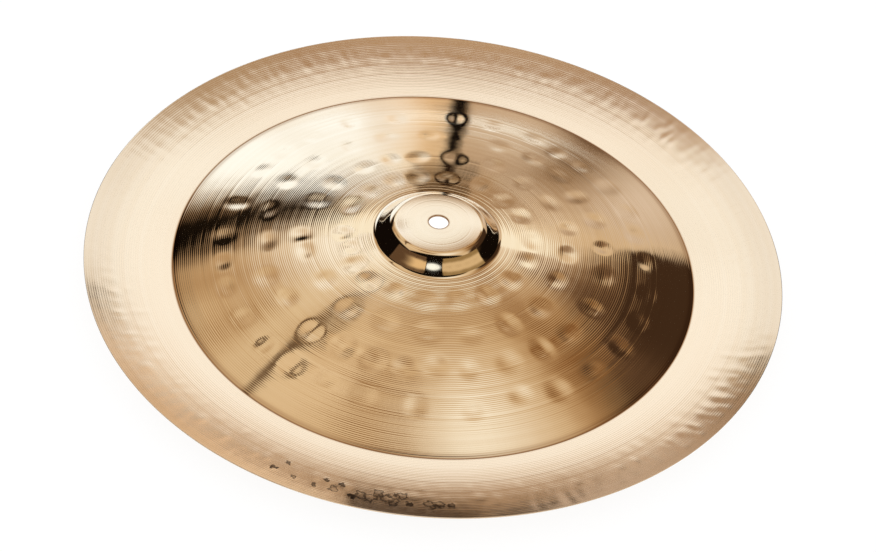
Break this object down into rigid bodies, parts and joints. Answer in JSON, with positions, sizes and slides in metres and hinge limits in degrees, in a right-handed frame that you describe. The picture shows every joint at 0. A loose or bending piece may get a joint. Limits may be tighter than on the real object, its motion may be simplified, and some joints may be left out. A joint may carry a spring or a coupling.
{
  "type": "china cymbal",
  "caption": "China cymbal: a thin hammered and lathed bronze disc with a flat-topped bell, an arched bow and an upturned flange, hung on a rod through its centre.",
  "frame": {"origin": "on the cymbal's axis, in the plane that it rests on, which touches the underside of the fold between bow and flange", "axes": "+Z along the axis, out of the top of the bell; +X and +Y across the disc, which is round, so their turn about +Z is free"},
  "size_m": [0.4572, 0.4572, 0.0321],
  "materials": {
    "bronze": "lathed and polished"
  },
  "bodies": {
    "root": {"cymbal": "bronze"}
  },
  "joints": []
}
